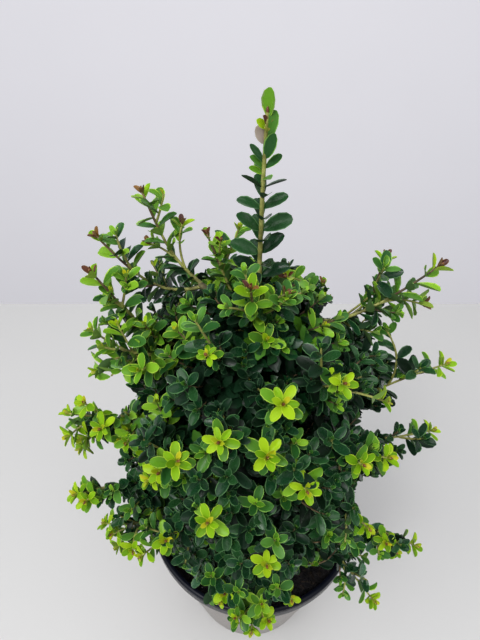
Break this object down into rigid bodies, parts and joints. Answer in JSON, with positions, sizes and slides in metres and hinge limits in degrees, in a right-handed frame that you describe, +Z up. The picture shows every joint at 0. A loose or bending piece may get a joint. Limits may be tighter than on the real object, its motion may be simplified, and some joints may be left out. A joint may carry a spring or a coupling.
{
  "type": "potted pyramidalis holly",
  "caption": "Small bushy upright evergreen holly with a leader standing above its crown, in a round tapered nursery pot, taupe outside and black inside, filled with potting mix.",
  "frame": {"origin": "middle of the pot's flat underside, on the pot's axis", "axes": "+Z up along the pot's axis and the leader; -Y towards the side that the picture shows; +X to the right in the picture"},
  "size_m": [0.2376, 0.2274, 0.4719],
  "materials": {
    "pot": "glossy moulded polypropylene, taupe outside and black inside",
    "potting_mix": "dark, loose and matt",
    "bark": "young bark, yellow-brown",
    "foliage": "leathery, half-glossy dark green leaves",
    "young_foliage": "leathery, half-glossy mid-green leaves"
  },
  "bodies": {
    "root": {"back_left_top": "young_foliage", "back_lower_0": "foliage", "back_lower_1": "foliage", "back_lower_2": "foliage", "back_lower_3": "foliage", "back_right_top": "foliage", "back_upper_0": "foliage", "back_upper_1": "foliage", "back_upper_2": "foliage", "back_upper_3": "foliage", "bough_back_0": "bark", "bough_back_1": "bark", "bough_back_2": "bark", "bough_back_3": "bark", "bough_front": "bark", "bough_front_hem": "bark", "bough_front_left_low": "bark", "bough_front_low": "bark", "bough_left_low": "bark", "bough_left_middle": "bark", "bough_left_upper": "bark", "bough_left_wide": "bark", "bough_right_low": "bark", "bough_right_middle": "bark", "bough_right_slope": "bark", "bough_right_upper": "bark", "front_hem": "foliage", "front_hem_left": "foliage", "front_hem_right": "foliage", "front_high": "foliage", "front_high_left": "foliage", "front_left": "foliage", "front_left_low": "foliage", "front_left_wide": "foliage", "front_low": "foliage", "front_middle": "foliage", "front_right": "foliage", "front_top": "foliage", "leader": "foliage", "left_foot": "foliage", "left_fourth": "foliage", "left_low": "foliage", "left_lower": "foliage", "left_second": "young_foliage", "left_tall": "young_foliage", "left_third": "young_foliage", "left_wide": "foliage", "pot": "pot", "potting_mix": "potting_mix", "right_arm": "foliage", "right_foot": "foliage", "right_front": "foliage", "right_long": "foliage", "right_low": "foliage", "right_lower": "foliage", "right_shoulder": "foliage", "right_slope": "foliage", "right_tall": "foliage", "right_wide": "foliage", "trunk": "bark"}
  },
  "joints": []
}
